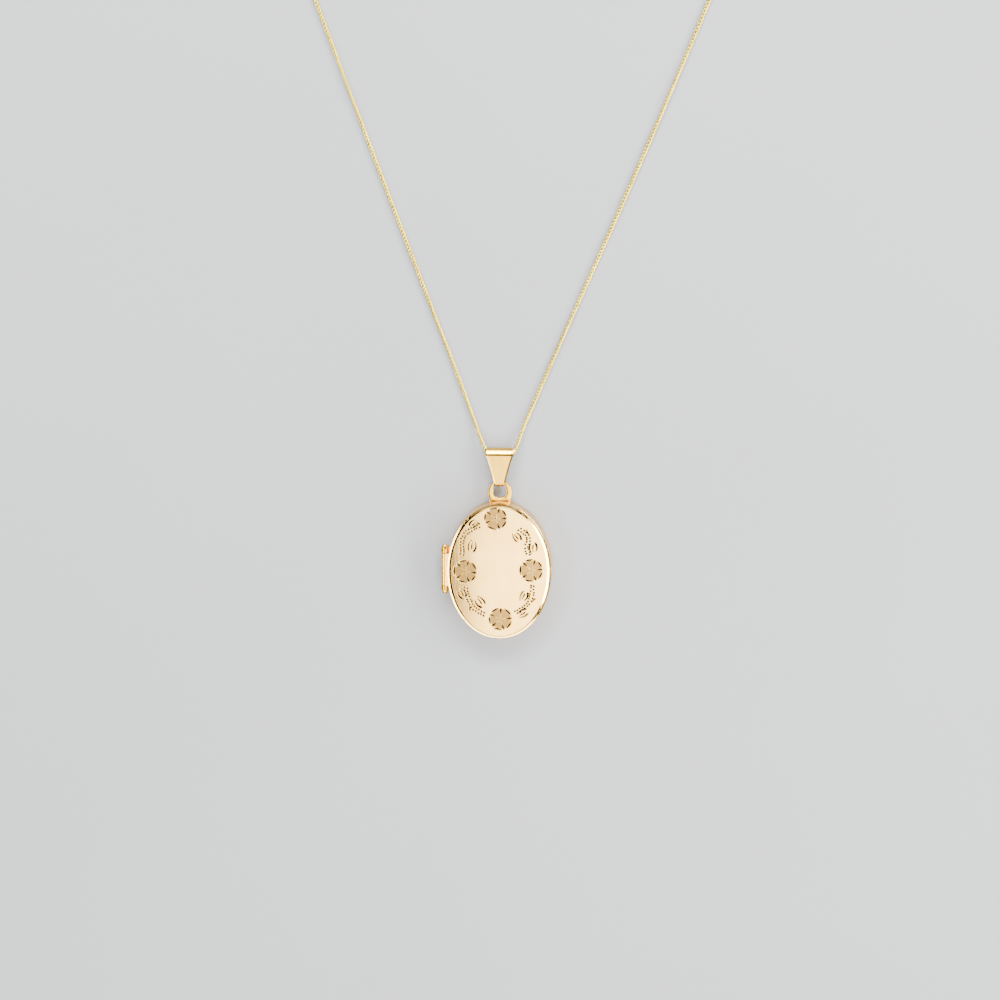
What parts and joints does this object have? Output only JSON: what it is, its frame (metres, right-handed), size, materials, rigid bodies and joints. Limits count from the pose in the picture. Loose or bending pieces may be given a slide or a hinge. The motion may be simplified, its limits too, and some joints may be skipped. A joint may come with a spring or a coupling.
{
  "type": "locket",
  "caption": "Oval hinged gold locket with an engraved flower wreath, tapered bail and fine curb chain with a bolt ring clasp.",
  "frame": {"origin": "the middle of the small flat on the case's back, where the locket lies on a surface", "axes": "+Z out of the engraved cover, +Y from the case to the loop and the bail, +X to the right with the hinge on the left"},
  "size_m": [0.0756, 0.1424, 0.005],
  "materials": {
    "case_gold": "mirror polished pale gold, bright cut and matt punched in the wreath",
    "chain_gold": "polished yellow gold wire",
    "window_film": "clear picture window",
    "picture_card": "blank uncoated card",
    "spring_steel": "bright spring wire"
  },
  "bodies": {
    "chain": {"chain_left": "chain_gold", "chain_left_end": "chain_gold", "chain_right": "chain_gold", "chain_coil": "chain_gold", "clasp_body": "chain_gold", "clasp_spring": "spring_steel", "clasp_eye": "chain_gold", "clasp_link": "chain_gold", "end_ring": "chain_gold"},
    "bail": {"bail": "case_gold", "chain_in_bail": "chain_gold"},
    "back_half": {"back_shell": "case_gold", "back_flange": "case_gold", "upper_knuckle": "case_gold", "lower_knuckle": "case_gold", "hinge_pin": "case_gold", "back_bearers": "case_gold", "catch_nib": "case_gold", "back_frame": "case_gold", "back_window": "window_film", "back_card": "picture_card", "pendant_loop": "case_gold"},
    "cover": {"front_shell": "case_gold", "middle_knuckle": "case_gold", "front_bearer": "case_gold", "front_frame": "case_gold", "front_window": "window_film", "front_card": "picture_card"},
    "bolt": {"clasp_bolt": "chain_gold"}
  },
  "joints": [
    {"name": "bail_swing", "type": "hinge", "parent": "chain", "child": "bail", "pos_m": [0, 0.02356, 0.00087], "axis": [-1, 0, 0], "range_deg": [0, 90]},
    {"name": "loop_swing", "type": "hinge", "parent": "bail", "child": "back_half", "pos_m": [0, 0.01663, 0.0013], "axis": [-1, 0, 0], "range_deg": [0, 80]},
    {"name": "cover_hinge", "type": "hinge", "parent": "back_half", "child": "cover", "pos_m": [-0.0103, 0, 0.0025], "axis": [0, -1, 0], "range_deg": [0, 165]},
    {"name": "bolt_slide", "type": "hinge", "parent": "chain", "child": "bolt", "pos_m": [0.011, 0.1168, 0.0011], "axis": [0, 0, 1], "range_deg": [0, 68], "stiffness_Nm_per_rad": 0.0002, "springref_deg": -17.19, "deforming": ["clasp_spring"]}
  ]
}
